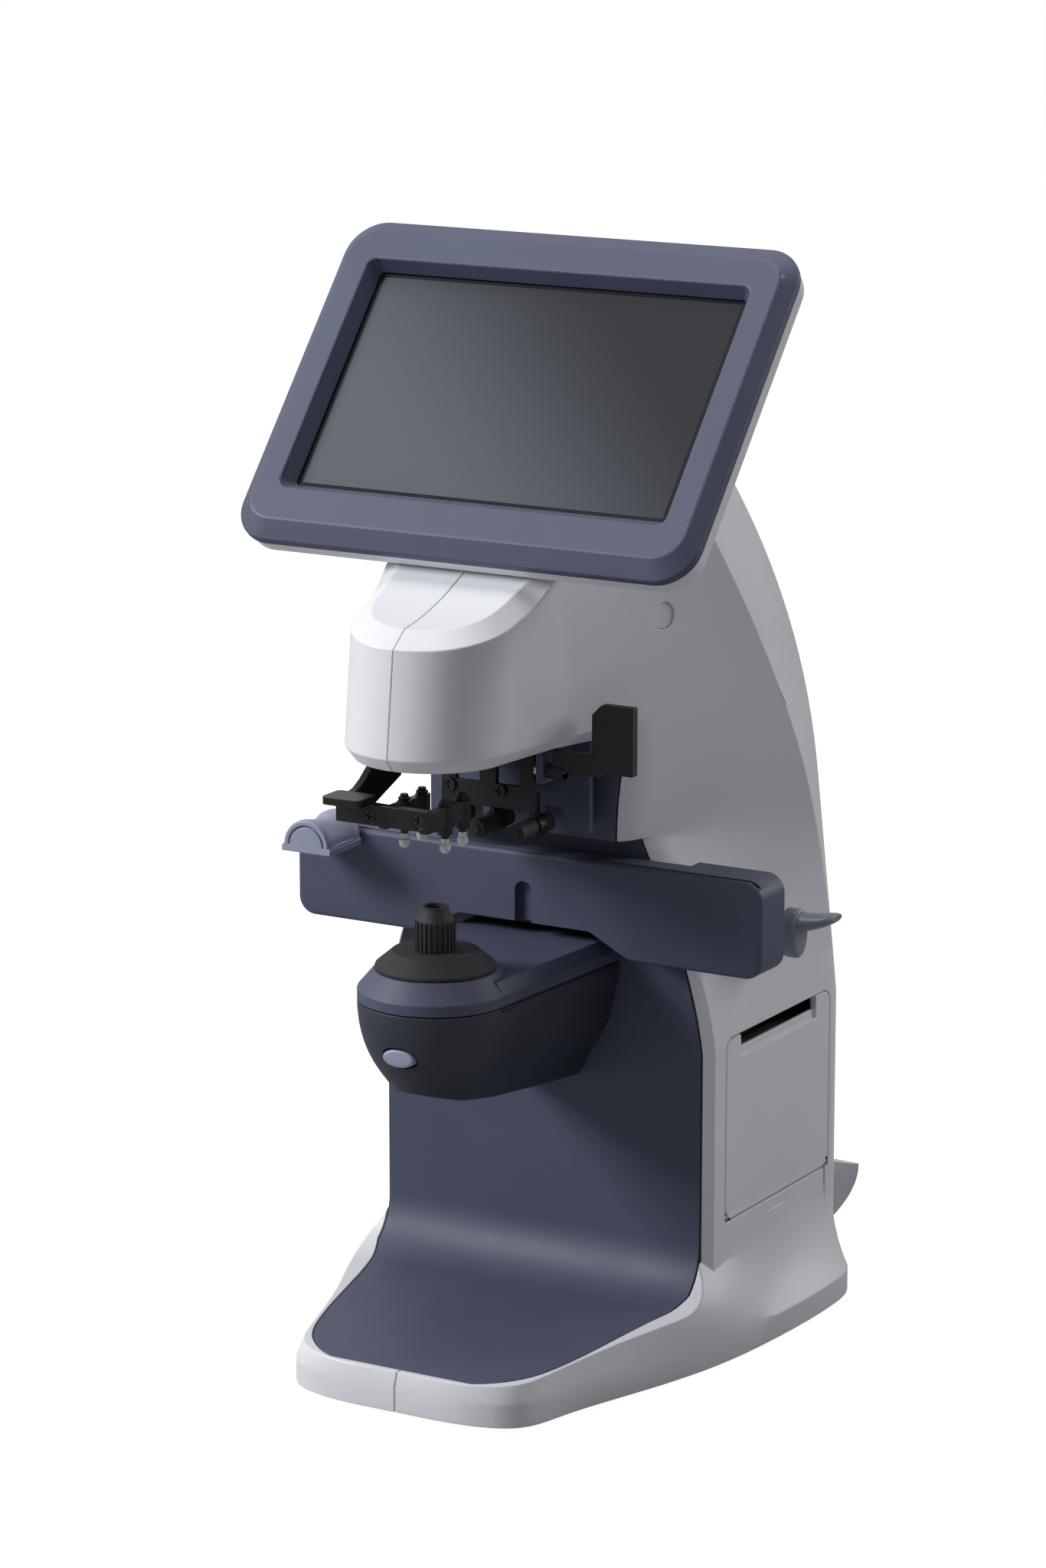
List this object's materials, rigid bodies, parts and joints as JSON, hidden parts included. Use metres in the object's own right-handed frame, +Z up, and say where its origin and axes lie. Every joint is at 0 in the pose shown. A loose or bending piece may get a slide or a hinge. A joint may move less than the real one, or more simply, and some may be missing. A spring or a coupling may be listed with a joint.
{
  "type": "auto lensmeter",
  "caption": "Desktop instrument that measures spectacle lenses: tilting display, lens table, nosepiece, lens holder with sprung pins, ink marking unit and a side printer.",
  "frame": {"origin": "on the table top, under the middle of the object's plan", "axes": "+X to the object's right as its user faces it from behind the origin, -Y towards the user, +Z up"},
  "size_m": [0.199, 0.232, 0.4172],
  "materials": {
    "shell": "fine satin, pale cool grey-white",
    "panel": "fine textured navy grey",
    "bezel": "fine grained navy grey",
    "lower_cover": "fine textured dark navy grey",
    "lavender": "satin lavender grey",
    "lever": "satin grey",
    "black_plastic": "satin black",
    "black_metal": "black, satin",
    "screen_glass": "dark display behind glossy glass",
    "clear_glass": "clear",
    "clear_silicone": "clear soft tip",
    "steel": "bright",
    "frame_metal": "cast, matt",
    "rubber": "matt black",
    "board": "green board",
    "paper": "white thermal paper",
    "zinc": "plated sheet"
  },
  "bodies": {
    "body": {"left_shell": "shell", "right_shell": "shell", "front_panel": "panel", "base_plate": "zinc", "rubber_feet": "rubber", "side_plugs": "shell", "rear_plate": "black_plastic", "power_inlet": "black_plastic", "switch_body": "black_plastic", "communication_port": "zinc", "main_frame": "frame_metal", "table_rods": "steel", "head_rods": "steel", "main_board": "board", "power_supply": "zinc", "lamp_unit": "black_metal", "collimator_lens": "clear_glass", "sensor_unit": "black_metal", "lower_cover": "lower_cover", "top_cover": "panel", "button_switch": "black_plastic", "nosepiece_flange": "black_plastic", "protective_glass": "clear_glass", "comb_bracket": "black_metal", "tilt_bracket": "zinc", "tilt_pin": "steel", "printer_mechanism": "black_plastic"},
    "screen": {"bezel": "bezel", "display_glass": "screen_glass", "display_module": "zinc", "screen_rear_housing": "shell"},
    "door": {"printer_door": "shell"},
    "roll": {"paper_roll": "paper"},
    "platen": {"platen_roller": "rubber"},
    "rocker": {"power_rocker": "black_plastic"},
    "button": {"memory_button": "lavender"},
    "nosepiece_cap": {"nosepiece": "black_plastic"},
    "table": {"table_bar": "panel", "table_carriage": "black_metal"},
    "pad_slider": {"nose_pad_slider": "lavender"},
    "side_lever": {"table_lever": "lever", "lever_shaft": "steel"},
    "holder": {"holder_arm": "black_metal", "holder_bar": "black_metal", "holder_screws": "black_metal"},
    "marker": {"marker_carriage": "black_metal", "carriage_screws": "black_metal"},
    "pens": {"pen_arms": "black_metal", "ink_pens": "black_plastic", "pen_caps": "black_plastic"},
    "marker_lever": {"marking_lever": "black_plastic", "marking_shaft": "steel"},
    "holder_pin_1": {"pin_1": "black_metal", "pin_tip_1": "clear_silicone"},
    "holder_pin_2": {"pin_2": "black_metal", "pin_tip_2": "clear_silicone"},
    "holder_pin_3": {"pin_3": "black_metal", "pin_tip_3": "clear_silicone"},
    "holder_pin_4": {"pin_4": "black_metal", "pin_tip_4": "clear_silicone"}
  },
  "joints": [
    {"name": "screen_tilt", "type": "hinge", "parent": "body", "child": "screen", "pos_m": [0, -0.00475, 0.35136], "axis": [-1, 0, 0], "range_deg": [0, 20]},
    {"name": "door_hinge", "type": "hinge", "parent": "body", "child": "door", "pos_m": [0.0701, 0.0506, 0.0533], "axis": [0, 1, 0], "range_deg": [0, 85]},
    {"name": "roll_spin", "type": "hinge", "parent": "body", "child": "roll", "pos_m": [0.0505, 0.0506, 0.074], "axis": [0, 1, 0], "continuous": true},
    {"name": "platen_spin", "type": "hinge", "parent": "body", "child": "platen", "pos_m": [0.06, 0.0506, 0.11], "axis": [0, 1, 0], "continuous": true},
    {"name": "rocker_tilt", "type": "hinge", "parent": "body", "child": "rocker", "pos_m": [0.01, 0.1011, 0.054], "axis": [1, 0, 0], "range_deg": [0, 10]},
    {"name": "button_press", "type": "slide", "parent": "body", "child": "button", "axis": [0, 1, 0], "range_m": [0, 0.0012], "stiffness_N_per_m": 300},
    {"name": "nosepiece_lift", "type": "slide", "parent": "body", "child": "nosepiece_cap", "axis": [0, 0, 1], "range_m": [0, 0.012]},
    {"name": "table_slide", "type": "slide", "parent": "body", "child": "table", "axis": [0, -1, 0], "range_m": [0, 0.038]},
    {"name": "pad_slide", "type": "slide", "parent": "table", "child": "pad_slider", "axis": [1, 0, 0], "range_m": [0, 0.162]},
    {"name": "lever_turn", "type": "hinge", "parent": "body", "child": "side_lever", "pos_m": [0.067, 0.0386, 0.159], "axis": [1, 0, 0], "range_deg": [0, 55]},
    {"name": "holder_lower", "type": "slide", "parent": "body", "child": "holder", "axis": [0, 0, -1], "range_m": [0, 0.02]},
    {"name": "marker_lever_turn", "type": "hinge", "parent": "body", "child": "marker_lever", "pos_m": [0.0225, -0.0434, 0.231], "axis": [1, 0, 0], "range_deg": [0, 70]},
    {"name": "marker_slide", "type": "slide", "parent": "body", "child": "marker", "axis": [0, -1, 0], "range_m": [0, 0.026]},
    {"name": "pens_turn", "type": "hinge", "parent": "marker", "child": "pens", "pos_m": [0, -0.0409, 0.2195], "axis": [1, 0, 0], "range_deg": [0, 30]},
    {"name": "pin_1_lift", "type": "slide", "parent": "holder", "child": "holder_pin_1", "axis": [0, 0, 1], "range_m": [0, 0.003], "stiffness_N_per_m": 20, "springref_m": -0.001},
    {"name": "pin_2_lift", "type": "slide", "parent": "holder", "child": "holder_pin_2", "axis": [0, 0, 1], "range_m": [0, 0.003], "stiffness_N_per_m": 20, "springref_m": -0.001},
    {"name": "pin_3_lift", "type": "slide", "parent": "holder", "child": "holder_pin_3", "axis": [0, 0, 1], "range_m": [0, 0.003], "stiffness_N_per_m": 20, "springref_m": -0.001},
    {"name": "pin_4_lift", "type": "slide", "parent": "holder", "child": "holder_pin_4", "axis": [0, 0, 1], "range_m": [0, 0.003], "stiffness_N_per_m": 20, "springref_m": -0.001}
  ],
  "couplings": [
    {"joint": "lever_turn", "follows": "table_slide", "rad_per_m": 25.259},
    {"joint": "marker_lever_turn", "follows": "marker_slide", "rad_per_m": 46.985},
    {"joint": "pens_turn", "follows": "marker_slide", "rad_per_m": 20.136}
  ]
}
